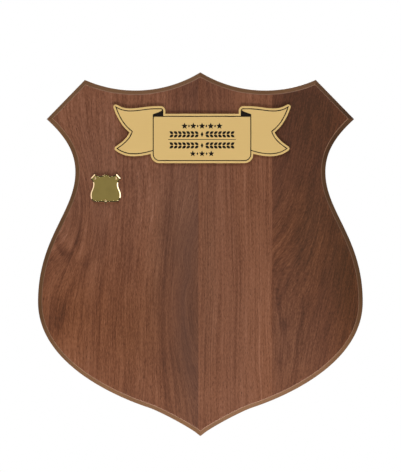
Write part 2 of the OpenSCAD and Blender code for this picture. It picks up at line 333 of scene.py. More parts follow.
class Shader:
    """One procedural material. Positions are in millimetres in the row frame."""

    def __init__(self, name, **settings):
        self.material = bpy.data.materials.new(name)
        self.material.use_nodes = True
        self.tree = self.material.node_tree
        self.surface = self.tree.nodes["Principled BSDF"]
        for socket, value in settings.items():
            self.surface.inputs[socket.replace("_", " ")].default_value = value
        coordinates = self.node("ShaderNodeTexCoord")
        split = self.node("ShaderNodeSeparateXYZ")
        self.tree.links.new(coordinates.outputs["Object"], split.inputs[0])
        self.x, self.y, self.z = (Value(self, s) * (1 / MM) for s in split.outputs)

    def node(self, kind):
        return self.tree.nodes.new(kind)

    def feed(self, socket, value):
        if isinstance(value, Value):
            self.tree.links.new(value.socket, socket)
        elif isinstance(value, tuple) and len(value) == 3 and socket.type == "RGBA":
            socket.default_value = (*value, 1)
        else:
            socket.default_value = value

    def math(self, operation, *values):
        node = self.node("ShaderNodeMath")
        node.operation = operation
        for socket, value in zip(node.inputs, values):
            self.feed(socket, value)
        return Value(self, node.outputs[0])

    def noise(self, x, y, z, detail=3, roughness=0.5):
        """Cloudy noise about 0.5 whose features are about one unit of the position given."""
        place = self.node("ShaderNodeCombineXYZ")
        for socket, value in zip(place.inputs, (x, y, z)):
            self.feed(socket, value)
        node = self.node("ShaderNodeTexNoise")
        self.tree.links.new(place.outputs[0], node.inputs["Vector"])
        node.inputs["Scale"].default_value = 1
        node.inputs["Detail"].default_value = detail
        node.inputs["Roughness"].default_value = roughness
        return Value(self, node.outputs["Fac"])

    def mix(self, amount, low, high, kind="MIX"):
        """Colour low where amount is 0 and high where it is 1."""
        node = self.node("ShaderNodeMix")
        node.data_type = "RGBA"
        node.blend_type = kind
        self.feed(node.inputs["Factor"], amount)
        self.feed(node.inputs[6], low)
        self.feed(node.inputs[7], high)
        return Value(self, node.outputs[2])

    def colour(self, red, green, blue):
        """A colour from three numbers or formulas."""
        node = self.node("ShaderNodeCombineColor")
        for socket, value in zip(node.inputs, (red, green, blue)):
            self.feed(socket, value)
        return Value(self, node.outputs[0])

    def ramp(self, value, stops):
        """Colour by value, through (position, colour) stops."""
        node = self.node("ShaderNodeValToRGB")
        elements = node.color_ramp.elements
        while len(elements) < len(stops):
            elements.new(0.5)
        for element, (position, colour) in zip(elements, stops):
            element.position = position
            element.color = (*colour, 1)
        self.feed(node.inputs[0], value)
        return Value(self, node.outputs[0])

    def set(self, socket, value):
        self.feed(self.surface.inputs[socket], value)

    def bump(self, height, depth, strength=1.0):
        """Fine relief: height 0 to 1 stands for depth millimetres."""
        node = self.node("ShaderNodeBump")
        node.inputs["Strength"].default_value = strength
        node.inputs["Distance"].default_value = depth * MM
        self.feed(node.inputs["Height"], height)
        self.tree.links.new(node.outputs[0], self.surface.inputs["Normal"])


def swirl(shader, x, z, half_w, half_h, lean=0):
    """A smooth hill, 1 in its middle, whose top leans right by lean degrees."""
    right = math.cos(math.radians(lean))
    up = math.sin(math.radians(lean))
    across = ((shader.x - x) * right - (shader.z - z) * up) / half_w
    along = ((shader.x - x) * up + (shader.z - z) * right) / half_h
    return shader.math("EXPONENT", (across * across + along * along) * -1)


def curl(shader, x, z, half_w, half_h, thickness, seed):
    """A soft line, with some wobble, along the bottom and sides of an ellipse."""
    wobble = shader.noise(shader.x / 11, seed, shader.z / 16, detail=2) - 0.5
    across = (shader.x - x) / half_w
    upright = (shader.z - z) / half_h
    off = (across * across + upright * upright + wobble * 0.8 - 1) / thickness
    return shader.math("EXPONENT", off * off * -1) * (upright * -1).between(-0.6, 0.2)


def grain_lines(shader, lean, swirls, seed):
    """Distance across the grain in millimetres: equal values lie along one growth line.

    swirls are (x, z, half width, half height, push), and lean is the grain's slope.
    """
    wander = shader.noise(shader.x / 55, seed, shader.z / 190, detail=2)
    ripple = shader.noise(shader.x / 13, seed + 7, shader.z / 50, detail=2)
    across = shader.x - shader.z * lean + (wander - 0.5) * 14 + (ripple - 0.5) * 2.6
    for x, z, half_w, half_h, push in swirls:
        across = across + swirl(shader, x, z, half_w, half_h) * push
    return across


# Walnut from its darkest lines to its palest wood, and what lies in and between its fibres.
WALNUT = (
    (0.0, (0.053, 0.022, 0.013)),
    (0.3, (0.113, 0.041, 0.022)),
    (0.5, (0.160, 0.060, 0.031)),
    (0.7, (0.208, 0.082, 0.044)),
    (1.0, (0.300, 0.131, 0.078)),
)
GREY_HEARTWOOD = (0.098, 0.047, 0.036)
DARK_FIBRE = (0.05, 0.02, 0.012)
PORE_SHADE = (0.028, 0.012, 0.008)


def walnut_leaf(
    name, seed, tone, lean, swirls, rings, patches, slants, curls, arches, grey, hues, line_length
):
    """Lacquered walnut veneer.

    rings are (growth line, half width, tone change), patches are (x, z, half width, half
    height, tone change), slants are (x, z, half width, half length, degrees, tone change),
    curls are (x, z, half width, half height, thickness, tone change) of lines on ellipses,
    arches are like patches and hang below their middle as nested curves, grey is the (growth
    line, half width, amount) of grey heartwood, and hues are (x, z, half width, half height,
    more green, more blue).
    """
    shader = Shader(name, Coat_Weight=0.05, Coat_Roughness=0.4, Specular_IOR_Level=0.05)
    across = grain_lines(shader, lean, swirls, seed)
    bands = shader.noise(across / 17, seed, shader.z / 420, detail=3, roughness=0.55)
    streaks = shader.noise(across / 4.2, seed + 3, shader.z / 110, detail=3, roughness=0.6)
    lines = shader.noise(across / 1.25, seed + 5, shader.z / line_length, detail=3, roughness=0.6)
    dashes = shader.noise(across / 0.8, seed + 9, shader.z / 2.8, detail=2, roughness=0.6)
    level = (
        (bands - 0.5) * 0.42
        + (streaks - 0.5) * 0.52
        + (lines - 0.5) * 0.82
        + (dashes - 0.5) * 0.85
        + tone
    )
    for middle, half_w, change in rings:
        away = (across - middle) / half_w
        level = level + shader.math("EXPONENT", away * away * -1) * change
    for x, z, half_w, half_h, change in patches:
        level = level + swirl(shader, x, z, half_w, half_h) * change
    for x, z, half_w, half_h, degrees, change in slants:
        level = level + swirl(shader, x, z, half_w, half_h, degrees) * change
    for x, z, half_w, half_h, thickness, change in curls:
        level = level + curl(shader, x, z, half_w, half_h, thickness, seed + 31) * change
    for x, z, half_w, half_h, change in arches:
        hill = swirl(shader, x, z, half_w, half_h)
        bent = shader.noise(shader.x / 22, seed + 25, shader.z / 22, detail=2)
        curves = shader.math("SINE", hill * 17 + bent * 4)
        below = ((shader.z - z) / -half_h).between(-0.3, 0.7)
        level = level + curves * hill * below * change
    colour = shader.ramp(level, WALNUT)
    middle, half_w, amount = grey
    away = (across - middle) / half_w
    cloud = shader.noise(across / 26, seed + 13, shader.z / 300, detail=2).between(0.3, 0.7)
    ash = shader.math("EXPONENT", away * away * -1) * amount + cloud * 0.12
    colour = shader.mix(ash, colour, GREY_HEARTWOOD)
    green = 1.0
    blue = 1.0
    for x, z, half_w, half_h, more_green, more_blue in hues:
        hill = swirl(shader, x, z, half_w, half_h)
        green = hill * more_green + green
        blue = hill * more_blue + blue
    colour = shader.mix(1.0, colour, shader.colour(1.0, green, blue), "MULTIPLY")
    fibre = shader.noise(across / 0.34, seed + 17, shader.z / 9, detail=2, roughness=0.6)
    colour = shader.mix(fibre.between(0.35, 0.75) * 0.2, colour, DARK_FIBRE)
    pores = shader.noise(across / 0.42, seed + 21, shader.z / 4.5, detail=1)
    open_pores = pores.between(0.64, 0.74)
    colour = shader.mix(open_pores * 0.6, colour, PORE_SHADE)
    shader.set("Base Color", colour)
    shader.set("Roughness", streaks * 0.1 + 0.46 + open_pores * 0.2)
    shader.bump(open_pores * -1 + fibre * 0.25, 0.03, 0.5)
    return shader.material


def veneer_edge():
    """The sloping cut through the face veneer, paler than the stained core."""
    shader = Shader("veneer_cut_edge", Roughness=0.5, Specular_IOR_Level=0.25)
    fleck = shader.noise(shader.x / 0.8, shader.y / 0.3, shader.z / 0.8, detail=3)
    shader.set("Base Color", shader.mix(fleck, (0.17, 0.085, 0.048), (0.27, 0.14, 0.085)))
    return shader.material


def stained_mdf():
    """Grainless felted board under a brown stain of uneven thickness, with painted shade darkening
    it by the right ear.
    """
    shader = Shader("stained_mdf", Coat_Weight=0.04, Coat_Roughness=0.4, Specular_IOR_Level=0.15)
    felt = shader.noise(shader.x / 0.9, shader.y / 0.5, shader.z / 0.9, detail=5, roughness=0.7)
    cloud = shader.noise(shader.x / 24, shader.y / 9, shader.z / 24, detail=2)
    colour = shader.mix(felt, (0.131, 0.063, 0.028), (0.175, 0.084, 0.038))
    # Painted shade: the right shoulder and ear are darkened in the colour itself, standing in for
    # less light falling there; the cloud is the stain's real unevenness.
    painted_shade_by_right_ear = swirl(shader, 131, -26, 30, 34)
    uneven_stain_and_painted_shade = cloud.between(0.35, 0.7) * 0.25 + painted_shade_by_right_ear
    colour = shader.mix(uneven_stain_and_painted_shade, colour, (0.064, 0.028, 0.012))
    shader.set("Base Color", colour)
    shader.set("Roughness", felt * 0.16 + 0.42)
    shader.bump(felt, 0.05, 0.4)
    return shader.material


def backing_veneer():
    """Plain, thinly sealed veneer on the back: pale brown with straight, quiet grain."""
    shader = Shader("backing_veneer", Roughness=0.6)
    across = grain_lines(shader, 0.02, [(-30, -150, 60, 160, 26)], 31)
    bands = shader.noise(across / 14, 31, shader.z / 400, detail=3)
    lines = shader.noise(across / 1.4, 33, shader.z / 45, detail=3, roughness=0.6)
    level = (bands - 0.5) * 0.8 + (lines - 0.5) * 0.5 + 0.5
    colour = shader.ramp(level, (
        (0.0, (0.16, 0.085, 0.045)),
        (0.5, (0.285, 0.165, 0.092)),
        (1.0, (0.40, 0.25, 0.15)),
    ))
    pores = shader.noise(across / 0.4, 37, shader.z / 5, detail=1).between(0.64, 0.72)
    shader.set("Base Color", shader.mix(pores * 0.5, colour, (0.09, 0.045, 0.025)))
    shader.bump(pores * -1 + lines * 0.3, 0.04, 0.5)
    return shader.material


def gold_plate():
    """Satin gold laminate with very fine brushing along its length."""
    shader = Shader(
        "gold_plate", Metallic=0.15, Coat_Weight=0.08, Coat_Roughness=0.35, Specular_IOR_Level=0.3
    )
    brush = shader.noise(shader.x / 9, shader.y, shader.z / 0.12, detail=2)
    cloud = shader.noise(shader.x / 30, shader.y, shader.z / 18, detail=2)
    colour = shader.mix(brush, (0.612, 0.414, 0.153), (0.668, 0.460, 0.183))
    shader.set("Base Color", shader.mix(cloud * 0.2, colour, (0.682, 0.484, 0.210)))
    shader.set("Roughness", brush * 0.1 + 0.42)
    shader.bump(brush, 0.004, 0.4)
    return shader.material


def black_enamel():
    """Paint that fills the engraving, with a slightly uneven surface."""
    shader = Shader("black_enamel", Roughness=0.5, Specular_IOR_Level=0.12)
    uneven = shader.noise(shader.x / 0.7, shader.y, shader.z / 0.7, detail=2)
    shader.set("Base Color", shader.mix(uneven, (0.005, 0.003, 0.002), (0.012, 0.008, 0.006)))
    shader.bump(uneven, 0.02, 0.4)
    return shader.material


def foam_tape():
    """Off-white acrylic foam tape with fine open cells along its cut edge."""
    shader = Shader("foam_tape", Roughness=0.85)
    cells = shader.noise(shader.x / 0.15, shader.y / 0.15, shader.z / 0.15, detail=2)
    shader.set("Base Color", shader.mix(cells, (0.55, 0.55, 0.52), (0.78, 0.78, 0.75)))
    shader.bump(cells, 0.05, 0.6)
    return shader.material


def brass(name, colour, roughness, wear):
    """Brass with hairline polishing marks and a trace of tarnish."""
    shader = Shader(name, Metallic=1.0)
    haze = shader.noise(shader.x / 7, shader.y / 3, shader.z / 7, detail=3)
    hairs = shader.noise(shader.x / 5, shader.y, shader.z / 0.06, detail=2)
    darker = tuple(c * 0.86 for c in colour)
    shader.set("Base Color", shader.mix(haze.between(0.4, 0.75) * wear, colour, darker))
    shader.set("Roughness", haze * 0.02 + hairs * 0.01 + roughness)
    shader.bump(hairs, 0.002, 0.3)
    return shader.material


def plated_steel(name, colour, roughness):
    """Zinc or nickel plating with a faint crystalline cloudiness and rubbed scratches."""
    shader = Shader(name, Metallic=1.0)
    cloud = shader.noise(shader.x / 2.5, shader.y / 2.5, shader.z / 2.5, detail=4)
    scratch = shader.noise(shader.x / 0.12, shader.y / 4, shader.z / 4, detail=2)
    duller = tuple(c * 0.72 for c in colour)
    shader.set("Base Color", shader.mix(cloud.between(0.35, 0.7), colour, duller))
    shader.set("Roughness", cloud * 0.18 + scratch.between(0.6, 0.8) * 0.15 + roughness)
    shader.bump(scratch, 0.01, 0.25)
    return shader.material


def bumper_rubber():
    """Dark moulded rubber with a fine matt skin."""
    shader = Shader("bumper_rubber", Roughness=0.72)
    skin = shader.noise(shader.x / 0.35, shader.y / 0.35, shader.z / 0.35, detail=4)
    shader.set("Base Color", shader.mix(skin, (0.028, 0.028, 0.030), (0.052, 0.051, 0.050)))
    shader.bump(skin, 0.04, 0.5)
    return shader.material


# ---- board


CHAMFER = 4.5
VENEER = BACK_HIGH.y - BACK_LOW.y


def make_board():
    """Core with softened arrises, and the veneer on its back."""
    outline = board_outline()
    side_end = FACE_Y + CHAMFER
    arris_r = 0.7
    bm = bmesh.new()
    profile = softened(
        [(0, CORE_HIGH.y), (0, side_end), (CHAMFER - VENEER, CORE_LOW.y)], arris_r
    )
    loft(bm, outline, profile)
    make_piece("board_core", bm, [stained_mdf()], BOARD, ["core_board"])

    bm = bmesh.new()
    edge = 0.35
    edge_r = 0.15
    back = [(0, BACK_LOW.y), (0, BACK_Y - edge), (edge, BACK_Y), (edge * 3, BACK_Y)]
    loft(bm, outline, softened(back, edge_r)[::-1])
    make_piece("board_back_veneer", bm, [backing_veneer()], BOARD, ["back_veneer"])


def cut_away(bm, x, keep_right):
    """Cuts the mesh along an upright plane, keeps one side and closes the cut."""
    cut = bmesh.ops.bisect_plane(
        bm,
        geom=bm.verts[:] + bm.edges[:] + bm.faces[:],
        dist=1e-6,
        plane_co=(x, 0, 0),
        plane_no=(1, 0, 0),
        clear_inner=keep_right,
        clear_outer=not keep_right,
    )
    edges = [e for e in cut["geom_cut"] if isinstance(e, bmesh.types.BMEdge)]
    bmesh.ops.contextual_create(bm, geom=edges)


def make_leaf(name, node, low_x, high_x, material):
    """One leaf of the face veneer, sloping at the chamfer and square at its seams."""
    bm = bmesh.new()
    edge_r = 0.2
    face_depth = 0.02
    profile = softened(
        [(CHAMFER - VENEER, CORE_LOW.y), (CHAMFER, FACE_Y), (CHAMFER + 1, FACE_Y)], edge_r
    )
    loft(bm, board_outline(), profile)
    for face in bm.faces:
        on_face = all(v.co.y < FACE_Y + face_depth for v in face.verts)
        face.material_index = 0 if on_face else 1
    if low_x is not None:
        cut_away(bm, low_x, keep_right=True)
    if high_x is not None:
        cut_away(bm, high_x, keep_right=False)
    make_piece(name, bm, [material, EDGE], BOARD, [node])


def make_leaves():
    """Three leaves: figured heartwood on the left, straight in the middle, dark on the right."""
    left = walnut_leaf(
        "walnut_left",
        seed=1.7,
        tone=0.58,
        lean=0.02,
        swirls=[(-126, -88, 27, 50, -40), (2, -172, 26, 70, 45), (-13, -150, 9, 12, -9)],
        rings=[
            (-134, 3, -0.16), (-146, 3, -0.18), (-160, 8, 0.08), (-24, 4, -0.09), (22, 42, -0.15)
        ],
        patches=[
            (-104, -84, 7, 26, -0.08), (-120, -119, 5, 10, 0.12),
            (-131, -154, 8, 15, 0.08), (-126, -182, 17, 26, -0.12),
            (-87, -172, 10, 85, -0.18), (-128, -190, 10, 20, -0.1),
            (-54, -170, 14, 40, -0.08), (-28, -120, 10, 30, -0.09),
            (-9, -80, 8, 40, 0.1), (-9, -195, 6, 22, -0.11),
            (-16, -62, 12, 40, 0.12), (2, 16, 20, 14, -0.13),
            (-28, -238, 14, 26, -0.1), (-38, -252, 12, 14, 0.08),
            (-131, -128, 7, 14, 0.16), (-116, -113, 7, 10, 0.08),
            (-131, -204, 8, 12, -0.1), (-103, -188, 8, 16, -0.1),
            (-6, -274, 16, 14, 0.08),
        ],
        slants=[
            (-115, -158, 4.5, 26, 33, -0.2),
            (-129, -188, 5, 16, 14, -0.14),
            (-99, -128, 5, 24, 28, -0.1),
        ],
        curls=[(-122, -108, 11, 25, 0.45, -0.24), (-121, -106, 19, 41, 0.35, -0.1)],
        arches=[(-110, -104, 30, 44, 0.1)],
        grey=(20, 40, 0.36),
        hues=[
            (-75, -55, 85, 72, 0.085, 0.19),
            (-6, -160, 18, 130, 0.065, 0.06),
            (-24, -110, 14, 45, 0.05, 0.07),
            (-20, -235, 16, 50, 0.04, 0.05),
            (-40, -150, 12, 60, 0.035, 0.02),
            (-115, -190, 40, 50, -0.045, -0.17),
            (-60, -205, 22, 50, 0.0, -0.08),
        ],
        line_length=26,
    )
    centre = walnut_leaf(
        "walnut_centre",
        seed=5.2,
        tone=0.64,
        lean=0.0,
        swirls=[],
        rings=[(50, 13, 0.04), (10, 16, -0.05)],
        patches=[
            (5, 30, 30, 40, -0.2), (43, -70, 10, 50, -0.08),
            (10, -262, 26, 16, 0.08), (64, -120, 5, 150, -0.1),
        ],
        slants=[],
        curls=[],
        arches=[],
        grey=(20, 20, 0.12),
        hues=[(6, -120, 10, 160, 0.055, 0.08), (45, -130, 40, 160, 0.03, 0.03)],
        line_length=120,
    )
    right = walnut_leaf(
        "walnut_right",
        seed=9.1,
        tone=0.30,
        lean=0.2,
        swirls=[(57, -150, 30, 62, 20)],
        rings=[(118, 6, -0.08)],
        patches=[
            (134, -140, 34, 70, -0.14), (138, -160, 11, 50, -0.13),
            (82, -132, 8, 16, 0.1), (119, -102, 9, 16, -0.13),
            (107, -195, 10, 36, 0.07), (98, 4, 30, 56, -0.24),
            (70, -236, 22, 52, 0.17), (72, -165, 16, 40, 0.05),
            (66, -150, 8, 110, 0.12), (94, -246, 22, 30, 0.13),
        ],
        slants=[(78, -205, 2.5, 36, -12, -0.08), (92, -200, 2.5, 30, 12, -0.08)],
        curls=[(81, -150, 14, 108, 0.22, -0.1), (80, -130, 11, 72, 0.25, -0.07)],
        arches=[(70, -150, 24, 62, 0.08)],
        grey=(90, 30, 0.1),
        hues=[
            (104, -110, 36, 62, 0.05, -0.06),
            (106, -8, 32, 34, 0.01, -0.11),
            (138, -165, 18, 75, -0.01, -0.2),
            (84, -212, 28, 48, 0.085, 0.15),
        ],
        line_length=24,
    )
    make_leaf("veneer_leaf_left", "face_leaf_left", None, SEAM_LEFT, left)
    make_leaf("veneer_leaf_centre", "face_leaf_centre", SEAM_LEFT, SEAM_RIGHT, centre)
    make_leaf("veneer_leaf_right", "face_leaf_right", SEAM_RIGHT, None, right)


# ---- title plate


def loops_on_front(node):
    """Closed outlines around the frontmost flat face of a CAD node, as (x, z) points."""
    low_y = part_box(node)[0].y
    bm = bmesh.new()
    bm.from_mesh(frame["nodes"][node].data)
    bmesh.ops.remove_doubles(bm, verts=bm.verts, dist=1e-6)
    front = {f for f in bm.faces if all(abs(v.co.y - low_y) < 1e-6 for v in f.verts)}
    rim = [e for e in bm.edges if sum(f in front for f in e.link_faces) == 1]
    neighbours = {}
    for edge in rim:
        for a, b in (edge.verts, reversed(edge.verts)):
            neighbours.setdefault(a, []).append(b)
    loops = []
    while neighbours:
        start = next(iter(neighbours))
        loop = [start]
        while neighbours.get(loop[-1]):
            following = neighbours[loop[-1]].pop()
            neighbours[following].remove(loop[-1])
            loop.append(following)
        for v in loop:
            if not neighbours.get(v, True):
                del neighbours[v]
        loops.append([Vector((v.co.x, v.co.z)) / MM for v in loop[:-1]])
    bm.free()
    return [straightened(loop) for loop in loops]


def straightened(loop):
    """Drops points that lie on a straight line between their neighbours, or on top of one."""
    kept = []
    for i, point in enumerate(loop):
        before = point - loop[i - 1]
        after = loop[(i + 1) % len(loop)] - point
        if before.length < 1e-4 or after.length < 1e-9:
            continue
        if abs(before.normalized().cross(after.normalized())) > 1e-3 or before.dot(after) < 0:
            kept.append(point)
    return kept


def area(loop):
    """Area inside the loop, negative if the loop runs clockwise."""
    return sum(loop[i - 1].cross(p) for i, p in enumerate(loop)) / 2


def holds(loop, point):
    """True if the point is inside the loop."""
    inside = False
    for i, p in enumerate(loop):
        q = loop[i - 1]
        if (p.y > point.y) != (q.y > point.y):
            if point.x < p.x + (q.x - p.x) * (point.y - p.y) / (q.y - p.y):
                inside = not inside
    return inside


def nested(loops):
    """For each loop, how many others it lies in."""
    return [sum(holds(other, loop[0]) for other in loops if other is not loop) for loop in loops]


def fill(bm, outers, holes):
    """Flat faces inside each outer loop and outside the holes in it.

    Loops come as (points, vertices) pairs.
    """
    for points, verts in outers:
        inside = [h for h in holes if holds(points, h[0][0])]
        rings = [points] + [h[0] for h in inside]
        all_verts = list(verts)
        for hole in inside:
            all_verts += hole[1]
        flat = [[Vector((p.x, p.y, 0)) for p in ring] for ring in rings]
        for a, b, c in tessellate_polygon(flat):
            bm.faces.new((all_verts[a], all_verts[b], all_verts[c]))


def make_title_plate():
    """The engraved plate: bevelled rims, real grooves, and their floors under the enamel."""
    loops = loops_on_front("header_plate")
    loops = [loop if area(loop) < 0 else loop[::-1] for loop in loops]
    depth = nested(loops)
    front_y, back_y = PLATE_LOW.y, PLATE_HIGH.y
    floor_y = box_mm("header_line_enamel")[1].y
    bevel = 0.05
    bm = bmesh.new()

    def ring(points, y):
        return points, ring_at(bm, points, y)

    tops = []
    shoulders = []
    for loop, level in zip(loops, depth):
        into_metal = bevel if level % 2 == 0 else -bevel
        tops.append(ring(inset(loop, into_metal), front_y))
        shoulders.append(ring(loop, front_y + bevel))
        bridge(bm, shoulders[-1][1], tops[-1][1])
    for level in sorted(set(depth)):
        if level % 2 == 0:
            outers = [t for t, d in zip(tops, depth) if d == level]
            holes = [t for t, d in zip(tops, depth) if d == level + 1]
            fill(bm, outers, holes)
    floors = []
    for (points, verts), level in zip(shoulders, depth):
        end = ring(points, back_y if level == 0 else floor_y)
        bridge(bm, end[1], verts)
        if level == 0:
            bm.faces.new(end[1])
        floors.append(end)
    for level in sorted(set(depth)):
        if level % 2 == 1:
            outers = [f for f, d in zip(floors, depth) if d == level]
            holes = [f for f, d in zip(floors, depth) if d == level + 1]
            fill(bm, outers, holes)
    make_piece("title_plate", bm, [gold_plate()], BOARD, ["header_plate"], sharp=30)


def make_enamel():
    """The engraving's paint keeps its CAD shape and gets its own finish."""
    enamel = black_enamel()
    for node in ("header_line_enamel", "header_ornament_enamel"):
        mesh = frame["nodes"][node].data
        mesh.materials.clear()
        mesh.materials.append(enamel)


def make_tapes():
    """Three pads of foam tape whose cut edges bulge a little."""
    tape = foam_tape()
    r = 0.8
    corner_steps = 6
    for side in ("left", "centre", "right"):
        node = f"header_tape_{side}"
        low, high = box_mm(node)
        corners = [(low.x + r, low.z + r), (low.x + r, high.z - r)]
        corners += [(high.x - r, high.z - r), (high.x - r, low.z + r)]
        outline = []
        for (x, z), start in zip(corners, (270, 180, 90, 0)):
            outline += arc(Vector((x, z)), r, start, start - 90, corner_steps)
        bulge = [
            (0.15, high.y),
            (0.02, high.y - 0.1),
            (0, (low.y + high.y) / 2),
            (0.02, low.y + 0.1),
            (0.15, low.y),
        ]
        bm = bmesh.new()
        loft(bm, outline, bulge)
        make_piece(f"title_plate_tape_{side}", bm, [tape], BOARD, [node])


# ---- record shield


def make_record_shield():
    """Pressed brass shell: sloping edges, a barely crowned face and a hollow back."""
    outline = record_outline()
    back_y, front_y = RECORD_HIGH.y, RECORD_LOW.y
    slope = 0.9
    edge_h = 0.94
    sheet = 0.4
    crown = 0.04
    outer_r = 0.02
    inner_r = 0.05
    hub_h = 13
    rim_y = front_y + crown
    outer = softened(
        [(0, back_y), (0, back_y - edge_h), (slope, rim_y), (slope + 0.3, rim_y)], outer_r
    )
    inner = softened(
        [
            (sheet, back_y),
            (sheet, back_y - edge_h + sheet / 2),
            (slope + sheet / 2, rim_y + sheet),
            (slope + sheet / 2 + 0.2, rim_y + sheet),
        ],
        inner_r,
    )
    hub = Vector(((RECORD_LOW.x + RECORD_HIGH.x) / 2, RECORD_LOW.z + hub_h))
    bm = bmesh.new()

    def skin(profile):
        rings = [ring_at(bm, inset(outline, d), y) for d, y in profile]
        last_inset, last_y = profile[-1]
        edge = inset(outline, last_inset)
        for share in (0.85, 0.65, 0.42, 0.2):
            shrunk = [hub + (p - hub) * share for p in edge]
            rings.append(ring_at(bm, shrunk, last_y - crown * (1 - share * share)))
        for a, b in zip(rings, rings[1:]):
            bridge(bm, a, b)
        middle = bm.verts.new((hub.x, last_y - crown, hub.y))
        for i in range(len(rings[-1])):
            bm.faces.new((rings[-1][i], middle, rings[-1][(i + 1) % len(rings[-1])]))
        return rings[0]

    rim_out = skin(outer)
    rim_in = skin(inner)
    bridge(bm, rim_in, rim_out)
    finish = brass("polished_brass", (0.86, 0.70, 0.36), 0.015, 0.5)
    nodes = ["record_shield"]
    make_piece("record_shield_shell", bm, [finish], BOARD, nodes, sharp=25)


def make_pins():
    """Round-headed brass pins: a domed head over a straight shank."""
    finish = brass("brass_pins", (0.46, 0.33, 0.19), 0.5, 0.3)
    head_h = 0.8
    edge_h = 0.06
    shank_r = 0.5
    for side in ("left", "right", "bottom"):
        node = f"record_pin_{side}"
        low, high = box_mm(node)
        head_r = (high.x - low.x) / 2
        length = high.y - low.y - head_h
        shank = [(0, -length), (shank_r * 0.3, 0.5 - length), (shank_r, 1.6 - length), (shank_r, 0)]
        angles = [math.pi / 2 * i / 10 for i in range(1, 10)]
        dome = [(head_r * math.cos(a), head_h * math.sin(a)) for a in angles]
        head = [(head_r * 0.92, 0), (head_r, edge_h)] + dome + [(0, head_h)]
        bm = bmesh.new()
        lathe(bm, shank + head, 48)
        centre = ((low.x + high.x) / 2, low.y + head_h, (low.z + high.z) / 2)
        move(bm, TOWARDS_VIEWER, centre)
        make_piece(f"record_shield_pin_{side}", bm, [finish], BOARD, [node])


# ---- the back


def hinge_point():
    """The ring's hinge, in millimetres, from the joint."""
    joint = next(j for j in frame["joints"] if j["child"] == RING)
    return Vector(joint["pos_m"]) / MM


def make_strap():
    """A plated strip folded round the ring's bar, its two leaves lying on each other."""
    hinge = hinge_point()
    low, high = box_mm("hanger_strap")
    half_w = (high.x - low.x) / 2
    sheet = 1.0
    leaf_gap = 0.02
    eye_end = -55
    leaves_meet = 4.6
    handle = 1.3
    rim = 0.18
    narrowest = 0.2
    eye_r = hinge.y - low.y - sheet / 2
    end_z = low.z
    turn_z = low.z + half_w
    near_y = low.y + sheet / 2
    far_y = low.y + 1.5 * sheet + leaf_gap
    leaf_z = [end_z + half_w * (1 - math.cos(math.pi / 2 * i / 14)) for i in range(1, 15)]
    path = [Vector((near_y, z)) for z in leaf_z]
    path += [Vector((near_y, turn_z + (hinge.z - turn_z) * i / 4)) for i in range(1, 4)]
    centre = Vector((hinge.y, hinge.z))
    path += arc(centre, eye_r, 180, eye_end, 40)
    last = path[-1]
    heading = Vector((math.sin(math.radians(eye_end)), -math.cos(math.radians(eye_end))))
    down = Vector((far_y, hinge.z - leaves_meet))
    path += curve(last, last + heading * handle, down + Vector((0, handle)), down, 12)
    path += [Vector((far_y, down.y + (turn_z - down.y) * i / 3)) for i in range(1, 3)]
    path += [Vector((far_y, z)) for z in reversed(leaf_z)]
    bm = bmesh.new()
    rings = []
    for i, p in enumerate(path):
        before = path[max(i - 1, 0)]
        after = path[min(i + 1, len(path) - 1)]
        along = (after - before).normalized()
        normal = Vector((along.y, -along.x))
        reach = half_w
        if p.y < turn_z:
            reach = math.sqrt(max(half_w**2 - (turn_z - p.y) ** 2, narrowest**2))
        section = [
            (reach - rim, sheet / 2), (reach, sheet / 2 - rim),
            (reach, rim - sheet / 2), (reach - rim, -sheet / 2),
        ]
        section += [(-x, h) for x, h in reversed(section)]
        ring = []
        for x, h in section:
            side = p + normal * h
            ring.append(bm.verts.new((x, side.x, side.y)))
        rings.append(ring)
    for a, b in zip(rings, rings[1:]):
        bridge(bm, a, b)
    bm.faces.new(rings[0])
    bm.faces.new(reversed(rings[-1]))
    make_piece("hanging_strap", bm, [ZINC], BOARD, ["hanger_strap"], sharp=50)


def make_ring():
    """The hanging ring: one wire bent to a straight bar, two legs and a half-round top."""
    hinge = hinge_point()
    low, high = box_mm("hanger_ring")
    wire_r = 1.25
    half_w = (high.x - low.x) / 2 - wire_r
    top = high.z - wire_r
    reach = hinge.y - wire_r - low.y
    height = math.hypot(top - hinge.z, reach)
    lean = math.asin(reach / height)
    bend_r = 2.5
    leg_top = height - half_w
    path = [Vector((x, 0)) for x in (-6, -3, 0, 3, 6)]
    path += arc(Vector((half_w - bend_r, bend_r)), bend_r, -90, 0, 12)
    path += arc(Vector((0, leg_top)), half_w, 0, 180, 56)
    path += arc(Vector((-(half_w - bend_r), bend_r)), bend_r, 180, 270, 12)
    sides = 28
    count = len(path)
    bm = bmesh.new()
    rings = []
    for i, p in enumerate(path):
        along = (path[(i + 1) % count] - path[i - 1]).normalized()
        outwards = Vector((along.y, -along.x))
        ring = []
        for k in range(sides):
            angle = 2 * math.pi * k / sides
            flat = p + outwards * wire_r * math.cos(angle)
            ring.append(bm.verts.new((flat.x, wire_r * math.sin(angle), flat.y)))
        rings.append(ring)
    for i in range(count):
        bridge(bm, rings[i], rings[(i + 1) % count])
    cos, sin = math.cos(lean), math.sin(lean)
    move(bm, ((1, 0, 0), (0, cos, sin), (0, -sin, cos)), hinge)
    nickel = plated_steel("nickel_wire", (0.66, 0.65, 0.62), 0.14)
    make_piece("hanging_ring_wire", bm, [nickel], RING, ["hanger_ring"])


